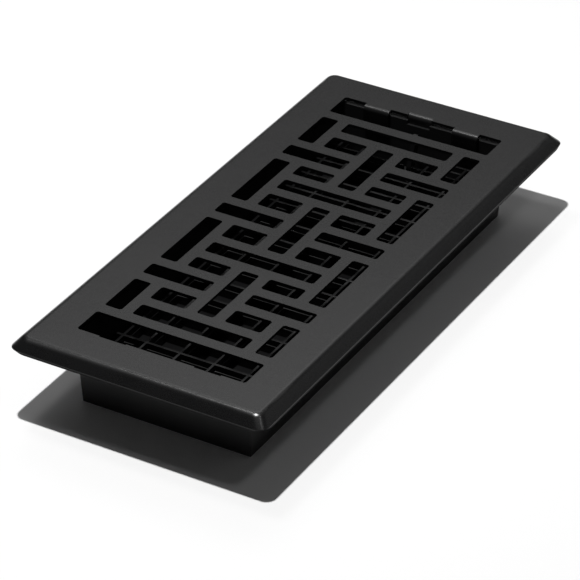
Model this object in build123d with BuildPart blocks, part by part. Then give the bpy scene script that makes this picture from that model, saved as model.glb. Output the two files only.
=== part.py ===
import math
import os

from build123d import *

os.makedirs("parts", exist_ok=True)

# Height from the foot of the box to the top of the face, and the sheet that the face is pressed from
total_height = 42.0
sheet = 1.5

# Skirt pressed round the face: how far it stands out past the foot of the box, its slope and its short lip
overhang_side = 22.6
overhang_end = 26.0
slope_rise = 5.2
slope_run = 4.5
lip_height = 1.2
rim_corner = 5.0
fold_corner = 4.5
skirt_bend = 3.0
lip_bend = 0.6

# Lattice of slots: common slot width, webs between slots, and the slots that differ
slot = 9.2
web_across = 5.9
web_along = 6.2
small_slot = 19.5
row_two = 11.1
row_six = 12.1
slot_corner = 0.9

# Tabs bent down from the outer edges of the two end slots
tab_width = 14.2
tab_centre = 25.4
tab_gap = 0.06
tab_bend = 1.0
hook_bend = 0.3
sharp_fold = 0.8
hook_drop = 9.5
lock_width = 13.6
lock_centre = -2.0
lock_drop = 7.0

# Moulded damper box, measured round its foot
box_width = 91.2
box_length = 244.4
box_wall = 1.3
box_draft = 4.0
box_corner = 3.3
end_wall_gap = 1.3
end_lip = 3.0
end_lip_thickness = 1.2
rim_rebate = 0.7
rebate_depth = 3.8
rail_height = 4.3
rail_inset = 1.1
shelf_thickness = 1.5
hook_play = 0.4
lock_dip = 2.1
nib_width = 5.0
nib_height = 2.4
nib_gap = 0.2
nib_grip = 0.9

# Egg-crate grid dropped into the box
grid_depth = 19.7
grid_height = 7.6
rib_pitch = 18.5
rib_top = 1.4
rib_foot = 2.2
rib_step = 3.3
rail_gap = 4.43
end_pocket = 12.428
bar_count = 15
grid_play = 0.3

# Louvers hinged under the bars
louver_thickness = 1.2
louver_shaft = 3.0
louver_gap = 0.3
louver_end_gap = 0.4
pin_diameter = 2.0
pin_length = 2.0
pin_play = 0.05
pin_end_gap = 0.2
pin_sides = 12

# Link bar and thumb lever that move the louvers together
link_thickness = 2.4
link_height = 3.5
link_reach = 8.0
link_fall = 4.0
link_play = 0.5
ear_thickness = 1.5
ear_gap = 0.7
lever_width = 4.5
lever_reach = 25.0
lever_lean = 21.5

# Heights that follow from the sizes above
lip_z = total_height - slope_rise
rim_z = lip_z - lip_height
under_z = total_height - sheet
grid_top = total_height - grid_depth
grid_low = grid_top - grid_height
louver_top = grid_low - louver_gap
pivot_z = louver_top - louver_shaft / 2
hook_top = total_height - hook_drop
hook_low = hook_top - sheet
end_wall_z = under_z - end_wall_gap

# Columns and rows of the lattice, counted out from the middle
centre_out = slot / 2
small_in = centre_out + web_across
small_out = small_in + small_slot
outer_in = small_out + web_across
outer_out = outer_in + slot
row7_out = slot / 2
row6_in = row7_out + web_along
row6_out = row6_in + row_six
row5_in = row6_out + web_along
row5_out = row5_in + slot
row4_in = row5_out + web_along
row4_out = row4_in + slot
row3_in = row4_out + web_along
row3_out = row3_in + slot
row2_in = row3_out + web_along
row2_out = row2_in + row_two
row1_in = row2_out + web_along
row1_out = row1_in + slot
end_in = row1_out + web_along

# Box walls follow their draft, and the skirt and the end slots follow the box
spread = math.tan(math.radians(box_draft))
face_width = box_width + 2 * overhang_side
face_length = box_length + 2 * overhang_end
end_out = box_length / 2 + end_wall_z * spread + tab_gap
top_width = box_width + 2 * under_z * spread
top_length = box_length + 2 * under_z * spread
rail_x = box_width / 2 - box_wall + grid_low * spread - rail_inset
wall_mid_x = box_width / 2 - box_wall / 2 + (grid_low - rail_height) * spread
wall_mid_y = box_length / 2 - box_wall / 2 + (grid_low - rail_height) * spread
bar_half = box_width / 2 - box_wall + grid_low * spread - grid_play
grid_half = box_length / 2 - box_wall + grid_low * spread - grid_play

# Louver, link and lever positions
side_rail = bar_half - rail_gap
bar_pitch = (grid_half - end_pocket) / (bar_count // 2)
first_bar = -(bar_count // 2)
bar_ys = [bar_pitch * k for k in range(first_bar, first_bar + bar_count)]
louver_ys = bar_ys[1:]
lever_y = louver_ys[-1]
louver_half = rail_x - louver_end_gap
louver_reach = bar_pitch - louver_shaft / 2 - louver_end_gap
link_z = pivot_z - link_fall
notch_half = link_thickness / 2 + link_play
notch_start = link_reach - link_play
ear_x = link_thickness / 2 + ear_gap
lever_slot_half = link_thickness / 2 + 2 * link_play


def add_slot(x0, x1, y0, y1):
    with Locations(((x0 + x1) / 2, (y0 + y1) / 2)):
        Rectangle(x1 - x0, y1 - y0)


def add_block(x0, x1, y0, y1, z0, z1, mode=Mode.ADD):
    with Locations(((x0 + x1) / 2, (y0 + y1) / 2, (z0 + z1) / 2)):
        Box(x1 - x0, y1 - y0, z1 - z0, mode=mode)


def add_tray(inset, lip, rise, mode=Mode.ADD):
    # Upright lip with the slope of the skirt lofted on top of it, set in by a distance all round
    run = rise * slope_run / slope_rise
    with BuildSketch(Plane.XY.offset(rim_z)) as rim:
        RectangleRounded(face_width - 2 * inset, face_length - 2 * inset, rim_corner - inset)
    extrude(rim.sketch, amount=lip, mode=mode)
    with BuildSketch(Plane.XY.offset(rim_z + lip)) as low:
        RectangleRounded(face_width - 2 * inset, face_length - 2 * inset, rim_corner - inset)
    with BuildSketch(Plane.XY.offset(rim_z + lip + rise)) as high:
        RectangleRounded(
            face_width - 2 * inset - 2 * run, face_length - 2 * inset - 2 * run, fold_corner - inset
        )
    loft([low.sketch, high.sketch], ruled=True, mode=mode)


def add_tab(centre, width, outline, bends):
    # Strip of bent sheet: side outline in Y and Z with its bends, carried across the tab's width
    with BuildSketch(Plane.YZ.offset(centre - width / 2)) as side:
        with BuildLine():
            Polyline(*outline, close=True)
        make_face()
        for corner, radius in bends:
            fillet(side.vertices().sort_by_distance((*corner, 0))[0], radius)
    extrude(side.sketch, amount=width)


# Face plate: pressed steel tray with a flared skirt, pierced lattice and bent tabs
slope_angle = math.degrees(math.atan2(slope_run, slope_rise))
inner_lip = lip_height - sheet * math.tan(math.radians(slope_angle / 2))
bend_root = sheet + tab_bend
hook_root = sheet + hook_bend
with BuildPart() as face_plate:
    add_tray(0, lip_height, slope_rise)
    fillet(face_plate.edges().group_by(Axis.Z)[-1], skirt_bend)
    fillet(face_plate.edges().filter_by_position(Axis.Z, lip_z, lip_z), lip_bend)
    add_tray(sheet, inner_lip, under_z - rim_z - inner_lip, Mode.SUBTRACT)
    with BuildSketch(Plane.XY.offset(total_height)) as lattice:
        for side in (-1, 1):
            x_small = sorted((side * small_in, side * small_out))
            x_medium = sorted((side * small_in, side * outer_out))
            x_outer = sorted((side * outer_in, side * outer_out))
            add_slot(*x_medium, -row7_out, row7_out)
            for end in (-1, 1):
                for low, high in ((row6_in, row6_out), (row4_in, row4_out), (row2_in, row2_out)):
                    add_slot(*x_small, *sorted((end * low, end * high)))
                add_slot(*x_medium, *sorted((end * row3_in, end * row3_out)))
                add_slot(*x_outer, *sorted((end * row6_in, end * row4_out)))
                add_slot(*x_outer, *sorted((end * row2_in, end * row1_out)))
        for end in (-1, 1):
            add_slot(-small_out, small_out, *sorted((end * row5_in, end * row5_out)))
            add_slot(-small_out, small_out, *sorted((end * row1_in, end * row1_out)))
            add_slot(-centre_out, centre_out, *sorted((end * row4_in, end * row2_out)))
            add_slot(-outer_out, outer_out, *sorted((end * end_in, end * end_out)))
        add_slot(-centre_out, centre_out, -row6_out, row6_out)
        chamfer(lattice.vertices(), slot_corner)
    extrude(amount=-2 * sheet, mode=Mode.SUBTRACT)

    # Rear tabs stand inside the end wall and hook out through its windows
    rear_out = box_length / 2 - box_wall + hook_low * spread - hook_play
    rear_in = rear_out - sheet
    rear_tip = box_length / 2 + hook_top * spread + hook_play
    rear_outline = [
        (end_out + bend_root, total_height),
        (rear_in, total_height),
        (rear_in, hook_low),
        (rear_tip, hook_low),
        (rear_tip, hook_top),
        (rear_out, hook_top),
        (rear_out, under_z),
        (end_out + bend_root, under_z),
    ]
    for side in (-1, 1):
        add_tab(
            side * tab_centre,
            tab_width,
            rear_outline,
            [
                (rear_outline[1], bend_root),
                (rear_outline[2], hook_root),
                (rear_outline[5], hook_bend),
                (rear_outline[6], tab_bend),
            ],
        )

    # Front tabs stand outside the end wall and hook in through its windows
    front_in = -end_out
    front_out = front_in - sheet
    front_tip = -(box_length / 2 - box_wall + hook_low * spread - hook_play)
    front_outline = [
        (front_out - bend_root, total_height),
        (front_in, total_height),
        (front_in, hook_top),
        (front_tip, hook_top),
        (front_tip, hook_low),
        (front_out, hook_low),
        (front_out, under_z),
        (front_out - bend_root, under_z),
    ]
    for side in (-1, 1):
        x0 = side * tab_centre - tab_width / 2
        fold_ys = (front_in - sharp_fold, front_in + hook_bend)
        add_block(x0, x0 + tab_width, *fold_ys, under_z, total_height, Mode.SUBTRACT)
        add_tab(
            side * tab_centre,
            tab_width,
            front_outline,
            [
                (front_outline[1], sharp_fold),
                (front_outline[2], hook_bend),
                (front_outline[5], hook_root),
                (front_outline[6], tab_bend),
            ],
        )

    # Lock tab folded down last behind the rear end wall
    lock_low = under_z - lock_drop
    lock_outline = [
        (end_out + sheet + bend_root, total_height),
        (end_out, total_height),
        (end_out, lock_low),
        (end_out + sheet, lock_low),
        (end_out + sheet, under_z),
        (end_out + sheet + bend_root, under_z),
    ]
    add_block(
        lock_centre - lock_width / 2,
        lock_centre + lock_width / 2,
        end_out - hook_bend,
        end_out + bend_root,
        under_z,
        total_height,
        Mode.SUBTRACT,
    )
    add_tab(
        lock_centre, lock_width, lock_outline, [(lock_outline[1], bend_root), (lock_outline[4], tab_bend)]
    )
face_plate.part.label = "face_plate"
export_step(face_plate.part, "parts/face_plate.step")

def add_end_lip(end, openings):
    # Lip turned out along the top of an end wall, with slots where tabs pass through it
    lip_low = end_wall_z - end_lip_thickness
    lip_ys = sorted((end * lip_root, end * (end_out + end_lip)))
    tab_ys = sorted((end * (end_out - tab_gap), end * (end_out + sheet + hook_play)))
    add_block(-lip_half, lip_half, *lip_ys, lip_low, end_wall_z)
    for centre, width in openings:
        x0 = centre - width / 2 - hook_play
        add_block(x0, x0 + width + 2 * hook_play, *tab_ys, lip_low, end_wall_z, Mode.SUBTRACT)


# Damper box: four drafted walls with bearing rails, end shelves, hook windows and grid nibs
wall_plane = Plane(origin=(0, 0, under_z), x_dir=(1, 0, 0), z_dir=(0, 0, -1))
shelf_low = grid_low - shelf_thickness
front_shelf = louver_ys[0] - bar_pitch + louver_shaft / 2
rear_shelf = lever_y + louver_shaft / 2 + louver_end_gap
lever_clear = lever_y + lever_width
nib_z = grid_top + nib_gap
nib_root = box_width / 2 - box_wall / 2 + nib_z * spread
nib_tip = bar_half - nib_grip
lip_half = box_width / 2 + end_wall_z * spread
lip_root = box_length / 2 - box_wall / 2 + end_wall_z * spread
with BuildPart() as damper_box:
    with BuildSketch(wall_plane):
        RectangleRounded(top_width, top_length, box_corner)
    extrude(amount=under_z, taper=box_draft)
    with BuildSketch(wall_plane):
        Rectangle(top_width - 2 * box_wall, top_length - 2 * box_wall)
    extrude(amount=under_z, taper=box_draft, mode=Mode.SUBTRACT)
    with BuildSketch(wall_plane):
        Rectangle(top_width - 2 * box_wall + 2 * rim_rebate, top_length - 2 * box_wall)
    extrude(amount=rebate_depth, taper=box_draft, mode=Mode.SUBTRACT)

    # Rails that carry the grid and take the louver pins, and shelves that close the two end pockets
    for side in (-1, 1):
        rail_xs = sorted((side * rail_x, side * wall_mid_x))
        add_block(*rail_xs, -wall_mid_y, wall_mid_y, grid_low - rail_height, grid_low)
    add_block(-wall_mid_x, wall_mid_x, -wall_mid_y, front_shelf, shelf_low, grid_low)
    add_block(-wall_mid_x, wall_mid_x, rear_shelf, wall_mid_y, shelf_low, grid_low)
    add_block(
        -lever_slot_half, lever_slot_half, rear_shelf - sheet, lever_clear, shelf_low, grid_low, Mode.SUBTRACT
    )
    for side in (-1, 1):
        with BuildSketch(Plane.YZ.offset(side * rail_x)):
            with Locations(*[(y, pivot_z) for y in louver_ys]):
                RegularPolygon(pin_diameter / 2 + pin_play, pin_sides, major_radius=False)
        extrude(amount=side * (pin_length - louver_end_gap + pin_end_gap), mode=Mode.SUBTRACT)

    # End walls stop short of the face, with windows for the hooks and a dip for the lock tab
    for end in (-1, 1):
        add_block(
            -rail_x,
            rail_x,
            *sorted((end * grid_half, end * top_length)),
            end_wall_z,
            total_height,
            Mode.SUBTRACT,
        )
        for side in (-1, 1):
            x0 = side * tab_centre - tab_width / 2
            add_block(
                x0 - hook_play,
                x0 + tab_width + hook_play,
                *sorted((end * (grid_half - sheet), end * top_length)),
                hook_low - hook_play,
                hook_top,
                Mode.SUBTRACT,
            )
            with BuildSketch(Plane.XZ.offset(-nib_width / 2 - end * (grid_half - nib_width / 2))):
                with BuildLine():
                    Polyline(
                        (side * nib_root, nib_z),
                        (side * nib_tip, nib_z),
                        (side * nib_root, nib_z + nib_height),
                        close=True,
                    )
                make_face()
            extrude(amount=nib_width)
    add_end_lip(-1, [(-tab_centre, tab_width), (tab_centre, tab_width)])
    add_end_lip(1, [(lock_centre, lock_width)])
    add_block(
        lock_centre - lock_width / 2 + hook_play,
        lock_centre + lock_width / 2 - hook_play,
        grid_half,
        top_length,
        end_wall_z - lock_dip,
        total_height,
        Mode.SUBTRACT,
    )
damper_box.part.label = "damper_box"
export_step(damper_box.part, "parts/damper_box.step")

# Louver grid: moulded egg-crate of long ribs and cross bars, thicker below a small step
step_z = grid_top - rib_step
with BuildPart() as louver_grid:
    for low, high, thickness in ((grid_low, step_z, rib_foot), (step_z, grid_top, rib_top)):
        with BuildSketch(Plane.XY.offset(low)):
            for x in (rib_pitch / 2, 3 * rib_pitch / 2, side_rail):
                with Locations((-x, 0), (x, 0)):
                    Rectangle(thickness, 2 * grid_half)
            end_bar = grid_half - thickness / 2
            with Locations(*[(0, y) for y in [-end_bar, *bar_ys, end_bar]]):
                Rectangle(2 * bar_half, thickness)
        extrude(amount=high - low)
    notch_ys = (lever_y - rib_foot, lever_y + rib_foot)
    add_block(-lever_slot_half, lever_slot_half, *notch_ys, grid_low, grid_top, Mode.SUBTRACT)
louver_grid.part.label = "louver_grid"
export_step(louver_grid.part, "parts/louver_grid.step")

# Louvers: flaps hinged under the bars, each with an ear and stub pin for the link bar
for number, y in enumerate(louver_ys, start=1):
    has_lever = y == lever_y
    name = "lever_louver" if has_lever else f"louver_{number:02d}"
    with BuildPart() as louver:
        with BuildSketch(Plane.YZ):
            with Locations((y, pivot_z)):
                RegularPolygon(louver_shaft / 2, pin_sides)
            with Locations((y - louver_reach / 2, louver_top - louver_thickness / 2)):
                Rectangle(louver_reach, louver_thickness)
        extrude(amount=louver_half, both=True)
        add_block(
            -notch_half,
            notch_half,
            y - louver_reach - louver_gap,
            y - notch_start,
            louver_top - 2 * louver_thickness,
            louver_top + louver_gap,
            Mode.SUBTRACT,
        )
        with BuildSketch(Plane.YZ):
            with Locations((y, pivot_z)):
                RegularPolygon(pin_diameter / 2, pin_sides)
        extrude(amount=louver_half + pin_length, both=True)
        with BuildSketch(Plane.YZ.offset(ear_x)):
            with Locations((y - link_reach, link_z)):
                RegularPolygon(pin_diameter, pin_sides)
                ear_height = louver_top - louver_thickness / 2 - link_z
                Rectangle(2 * pin_diameter, ear_height, align=(Align.CENTER, Align.MIN))
        extrude(amount=ear_thickness)
        with BuildSketch(Plane.YZ.offset(ear_x)):
            with Locations((y - link_reach, link_z)):
                RegularPolygon(pin_diameter / 2, pin_sides)
        extrude(amount=-(ear_x + link_thickness / 2 + link_play))
        if has_lever:
            with BuildSketch(Plane.YZ):
                with Locations(Location((y, pivot_z), -lever_lean)):
                    Circle(lever_width / 2)
                    Rectangle(lever_width, lever_reach - lever_width / 2, align=(Align.CENTER, Align.MIN))
                    with Locations((0, lever_reach - lever_width / 2)):
                        Circle(lever_width / 2)
            extrude(amount=link_thickness / 2, both=True)
    louver.part.label = name
    export_step(louver.part, f"parts/{name}.step")

# Link bar: flat strip strung on the stub pins
link_half = (lever_y - louver_ys[0]) / 2
link_centre = (lever_y + louver_ys[0]) / 2 - link_reach
with BuildPart() as link_bar:
    with BuildSketch(Plane.YZ):
        with Locations((link_centre, link_z)):
            SlotCenterToCenter(2 * link_half + link_height, link_height)
        with Locations(*[(y - link_reach, link_z) for y in louver_ys]):
            RegularPolygon(pin_diameter / 2 + pin_play, pin_sides, major_radius=False, mode=Mode.SUBTRACT)
    extrude(amount=link_thickness / 2, both=True)
link_bar.part.label = "link_bar"
export_step(link_bar.part, "parts/link_bar.step")
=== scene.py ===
import math

import bmesh
import bpy
from mathutils import Matrix, Vector


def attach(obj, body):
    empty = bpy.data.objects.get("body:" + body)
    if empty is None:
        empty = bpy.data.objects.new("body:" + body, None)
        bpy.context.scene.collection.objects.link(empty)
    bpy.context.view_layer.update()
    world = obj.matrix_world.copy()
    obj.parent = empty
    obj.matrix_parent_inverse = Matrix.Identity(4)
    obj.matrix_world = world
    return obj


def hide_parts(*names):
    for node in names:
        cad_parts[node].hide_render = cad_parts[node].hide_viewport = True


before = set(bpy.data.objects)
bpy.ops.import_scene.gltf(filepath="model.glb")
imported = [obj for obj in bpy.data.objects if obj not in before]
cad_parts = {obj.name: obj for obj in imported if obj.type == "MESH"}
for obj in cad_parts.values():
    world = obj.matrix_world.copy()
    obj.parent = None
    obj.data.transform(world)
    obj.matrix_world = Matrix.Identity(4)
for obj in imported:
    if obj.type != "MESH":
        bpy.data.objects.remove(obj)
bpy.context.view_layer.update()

# Camera: a long lens well back from the register, looking down over its front right corner,
# so that the long sides stay almost parallel.
camera_place = Vector((0.6990, -1.1929, 0.8893))
camera_right = Vector((0.86291, 0.50533, -0.00550))
camera_up = Vector((-0.26760, 0.46614, 0.84327))
camera_ahead = Vector((-0.42869, 0.72619, -0.53746))
camera_data = bpy.data.cameras.new("camera")
camera_data.sensor_width = 36.0
camera_data.lens = 209.7
camera_data.clip_start = 0.05
camera_data.clip_end = 20.0
camera = bpy.data.objects.new("camera", camera_data)
bpy.context.scene.collection.objects.link(camera)
camera_axes = Matrix((camera_right, camera_up, -camera_ahead)).transposed().to_4x4()
camera.matrix_world = Matrix.Translation(camera_place) @ camera_axes
bpy.context.scene.camera = camera
bpy.context.scene.view_settings.view_transform = "Standard"


# Face plate: one pressed steel sheet. Its skirt is flared all round, the lattice of slots is punched out,
# and the tabs at the end slots are bent down to hold the box. Powder coat rounds every punched edge.
class Wire:
    """One output socket of a shader tree. Operators add Math nodes."""

    def __init__(self, tree, socket):
        self.tree = tree
        self.socket = socket

    def make(self, kind, settings=None, output=0, **values):
        """A new node: settings first, then sockets by name, or by number as in _6."""
        node = self.tree.nodes.new(kind)
        for name, setting in (settings or {}).items():
            setattr(node, name, setting)
        for name, value in values.items():
            by_number = name[1:].isdigit()
            place = node.inputs[int(name[1:])] if by_number else node.inputs[name.replace("_", " ")]
            if isinstance(value, Wire):
                self.tree.links.new(value.socket, place)
            else:
                place.default_value = value
        return Wire(self.tree, node.outputs[output])

    def math(self, operation, a, b):
        return self.make("ShaderNodeMath", {"operation": operation}, _0=a, _1=b)

    def __add__(self, other):
        return self.math("ADD", self, other)

    def __radd__(self, other):
        return self.math("ADD", other, self)

    def __mul__(self, other):
        return self.math("MULTIPLY", self, other)

    def __rmul__(self, other):
        return self.math("MULTIPLY", other, self)

    def noise(self, scale, detail, roughness):
        return self.make("ShaderNodeTexNoise", Vector=self, Scale=scale, Detail=detail, Roughness=roughness)

    def blend(self, dark, light):
        """Colour between two others, by this value."""
        return self.make("ShaderNodeMix", {"data_type": "RGBA"}, output=2, Factor=self, _6=dark, _7=light)


def new_material(name):
    """An empty material and a Wire on its Object coordinates."""
    material = bpy.data.materials.new(name)
    material.use_nodes = True
    tree = material.node_tree
    tree.nodes.clear()
    place = tree.nodes.new("ShaderNodeTexCoord")
    return material, Wire(tree, place.outputs["Object"])


def surface(place, shader):
    """Joins a shader to the material's output."""
    output = place.tree.nodes.new("ShaderNodeOutputMaterial")
    place.tree.links.new(shader.socket, output.inputs["Surface"])


# Satin coat on the face, and a duller coat on the lip, so that it doesn't mirror the pale floor
coat_dark = (0.0042, 0.0042, 0.0044, 1.0)
coat_light = (0.0060, 0.0060, 0.0062, 1.0)
coat_gloss = 0.22
cloud_dulling = 0.06
grain_dulling = 0.05
peel_share = 0.65
grain_share = 0.35
thin_coat_low = 0.0364
thin_coat_high = 0.0369
powder_coat, place = new_material("satin_black_powder_coat")
peel = place.noise(900.0, 2.0, 0.5)
grain = place.noise(4200.0, 1.0, 0.5)
cloud = place.noise(30.0, 3.0, 0.6)
coat_height = peel_share * peel + grain_share * grain
coat_bump = place.make("ShaderNodeBump", Strength=0.35, Distance=0.00004, Height=coat_height)
coat = place.make(
    "ShaderNodeBsdfPrincipled",
    Base_Color=cloud.blend(coat_dark, coat_light),
    Roughness=coat_gloss + cloud_dulling * cloud + grain_dulling * grain,
    IOR=1.65,
    Normal=coat_bump,
)
thin_coat = place.make(
    "ShaderNodeBsdfPrincipled", Base_Color=coat_dark, Roughness=0.6, IOR=1.2, Normal=coat_bump
)
above_foot = place.make("ShaderNodeSeparateXYZ", output=2, Vector=place)
rim_share = place.make(
    "ShaderNodeMapRange",
    Value=above_foot,
    From_Min=thin_coat_low,
    From_Max=thin_coat_high,
    To_Min=1.0,
    To_Max=0.0,
)
surface(place, place.make("ShaderNodeMixShader", _0=rim_share, _1=coat, _2=thin_coat))

# Skirt as pressed, then how much wider its fold and how much rounder the edge of its lip are drawn
slope_run = 0.0045
slope_rise = 0.0052
fold_corner = 0.0045
fold_depth = 0.00130
fold_reach = 0.0025
fold_growth = 1.6
lip_height = 0.0012
rim_corner = 0.0050
edge_corner = 0.0090
corner_slack = 0.0001


def outside(point, half_x, half_y, corner):
    """Distance of a point outside a rounded rectangle, with the direction straight out of it."""
    reach = Vector((abs(point.x) - half_x + corner, abs(point.y) - half_y + corner))
    if reach.x > 0.0 and reach.y > 0.0:
        way = reach.normalized()
        distance = reach.length - corner
    else:
        way = Vector((1.0, 0.0)) if reach.x > reach.y else Vector((0.0, 1.0))
        distance = max(reach) - corner
    return distance, Vector((math.copysign(way.x, point.x), math.copysign(way.y, point.y), 0.0))


def soften_skirt(work):
    """Widens the pressed fold of the face plate and tucks the edge of its lip in at the corners."""
    half_x = max(vert.co.x for vert in work.verts)
    half_y = max(vert.co.y for vert in work.verts)
    top = max(vert.co.z for vert in work.verts)
    for vert in work.verts:
        distance, way = outside(vert.co, half_x - slope_run, half_y - slope_run, fold_corner)
        if vert.co.z > top - fold_depth and abs(distance) < fold_reach:
            vert.co += (fold_growth - 1.0) * (distance * way + Vector((0.0, 0.0, vert.co.z - top)))
        tuck = min((top - slope_rise - vert.co.z) / lip_height, 1.0)
        turn = Vector((abs(vert.co.x) - half_x + rim_corner, abs(vert.co.y) - half_y + rim_corner))
        if tuck > 0.0 and min(turn) > -corner_slack:
            turn.normalize()
            pull = (edge_corner - rim_corner) * tuck
            vert.co.x -= math.copysign(pull * (1.0 - max(turn.x, 0.0)), vert.co.x)
            vert.co.y -= math.copysign(pull * (1.0 - max(turn.y, 0.0)), vert.co.y)


def rounded_copy(node, radius, segments, body, soften=None):
    """Copy of a CAD node with its mesh joined up and its sharp edges rounded."""
    same_point = 1e-6
    same_plane = math.radians(0.5)
    sharp_edge = math.radians(35.0)
    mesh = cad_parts[node].data.copy()
    mesh.name = node + "_skin"
    work = bmesh.new()
    work.from_mesh(mesh)
    bmesh.ops.remove_doubles(work, verts=work.verts, dist=same_point)
    bmesh.ops.dissolve_limit(
        work, angle_limit=same_plane, use_dissolve_boundaries=False, verts=work.verts, edges=work.edges
    )
    if soften:
        soften(work)
    for face in work.faces:
        face.smooth = True
    work.to_mesh(mesh)
    work.free()
    piece = bpy.data.objects.new(node + "_skin", mesh)
    bpy.context.scene.collection.objects.link(piece)
    soft = piece.modifiers.new("rounded_edges", "BEVEL")
    soft.width = radius
    soft.segments = segments
    soft.limit_method = "ANGLE"
    soft.angle_limit = sharp_edge
    even = piece.modifiers.new("flat_faces_stay_flat", "WEIGHTED_NORMAL")
    even.weight = 50
    even.keep_sharp = True
    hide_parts(node)
    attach(piece, body)
    return piece


def dress(piece, material):
    piece.data.materials.clear()
    piece.data.materials.append(material)


punched_edge = 0.00030
face_plate = rounded_copy("face_plate", punched_edge, 3, "frame", soften_skirt)
dress(face_plate, powder_coat)

# Damper box: one black plastic moulding with drafted walls and a fine matt texture.
# It hangs under the face plate on the hooks of the bent tabs.
plastic_dark = (0.0040, 0.0040, 0.0043, 1.0)
plastic_light = (0.0060, 0.0060, 0.0064, 1.0)
box_gloss = 0.42
box_flow_dulling = 0.06
spark_dulling = 0.04
box_edge = 0.00025
moulded_plastic, place = new_material("matt_black_moulded_plastic")
spark = place.noise(2600.0, 2.0, 0.6)
box_flow = place.noise(18.0, 3.0, 0.6)
plastic_bump = place.make("ShaderNodeBump", Strength=0.4, Distance=0.00004, Height=spark)
plastic = place.make(
    "ShaderNodeBsdfPrincipled",
    Base_Color=box_flow.blend(plastic_dark, plastic_light),
    Roughness=box_gloss + box_flow_dulling * box_flow + spark_dulling * spark,
    IOR=1.49,
    Normal=plastic_bump,
)
surface(place, plastic)
damper_box = rounded_copy("damper_box", box_edge, 2, "frame")
dress(damper_box, moulded_plastic)

# Louver grid: an egg-crate of ribs and bars, moulded in a smoother black plastic than the box.
# It stands on the rails of the box and is held under small nibs.
flap_dark = (0.0035, 0.0035, 0.0037, 1.0)
flap_light = (0.0055, 0.0055, 0.0058, 1.0)
flap_gloss = 0.27
flap_flow_dulling = 0.06
fine_dulling = 0.03
rib_edge = 0.00040
flap_plastic, place = new_material("smooth_black_moulded_plastic")
fine = place.noise(3200.0, 1.0, 0.5)
flap_flow = place.noise(24.0, 3.0, 0.6)
flap_bump = place.make("ShaderNodeBump", Strength=0.3, Distance=0.00003, Height=fine)
smooth_plastic = place.make(
    "ShaderNodeBsdfPrincipled",
    Base_Color=flap_flow.blend(flap_dark, flap_light),
    Roughness=flap_gloss + flap_flow_dulling * flap_flow + fine_dulling * fine,
    IOR=1.49,
    Normal=flap_bump,
)
surface(place, smooth_plastic)
louver_grid = rounded_copy("louver_grid", rib_edge, 3, "frame")
dress(louver_grid, flap_plastic)

# Louvers, lever louver and link bar: mouldings of the same smooth plastic, which turn together.
# Each flap snaps into the rails of the box by its end pins, and the link bar is strung on their stub pins.
louver_count = 13
flap_edge = 0.00015
louver_nodes = [f"louver_{number:02d}" for number in range(1, louver_count + 1)]
for node in louver_nodes + ["lever_louver", "link_bar"]:
    moving_piece = rounded_copy(node, flap_edge, 2, node)
    dress(moving_piece, flap_plastic)

# Floor: plain pale studio paper, with the lamps that stand over it. It isn't part of the register.
floor_half = 6.0
floor_mesh = bpy.data.meshes.new("floor")
work = bmesh.new()
bmesh.ops.create_grid(work, x_segments=1, y_segments=1, size=floor_half)
work.to_mesh(floor_mesh)
work.free()
floor = bpy.data.objects.new("floor", floor_mesh)
bpy.context.scene.collection.objects.link(floor)
paper_white = (0.98, 0.98, 0.98, 1.0)
paper, place = new_material("pale_paper")
surface(place, place.make("ShaderNodeBsdfDiffuse", Color=paper_white))
dress(floor, paper)

room_white = (1.0, 1.0, 1.0, 1.0)
room_light = 0.032
world = bpy.data.worlds.new("studio")
bpy.context.scene.world = world
world.use_nodes = True
room = world.node_tree.nodes["Background"]
room.inputs["Color"].default_value = room_white
room.inputs["Strength"].default_value = room_light


def softbox(name, spot, width, height, radiance):
    """Area lamp that faces the register, given by the brightness of its panel."""
    lamp = bpy.data.lights.new(name, "AREA")
    lamp.shape = "RECTANGLE"
    lamp.size = width
    lamp.size_y = height
    lamp.energy = radiance * math.pi * width * height
    panel = bpy.data.objects.new(name, lamp)
    panel.location = spot
    panel.rotation_euler = (-Vector(spot)).to_track_quat("-Z", "Y").to_euler()
    bpy.context.scene.collection.objects.link(panel)


softbox("overhead_lamp", spot=(-0.17, -0.08, 2.2), width=0.06, height=0.06, radiance=3780.0)
softbox("upper_left_softbox", spot=(-0.72, 0.34, 2.0), width=0.32, height=0.32, radiance=8.5)
softbox("upper_right_softbox", spot=(0.93, -0.27, 2.0), width=0.2, height=0.2, radiance=11.0)
softbox("rear_left_softbox", spot=(-0.88, 1.43, 1.79), width=1.15, height=0.85, radiance=1.10)
softbox("low_left_softbox", spot=(-1.35, 1.65, 1.02), width=1.6, height=1.15, radiance=0.17)
softbox("rear_middle_softbox", spot=(0.02, 1.90, 1.75), width=0.9, height=1.0, radiance=0.28)
softbox("rear_right_softbox", spot=(1.40, 1.70, 1.20), width=1.6, height=1.0, radiance=0.15)
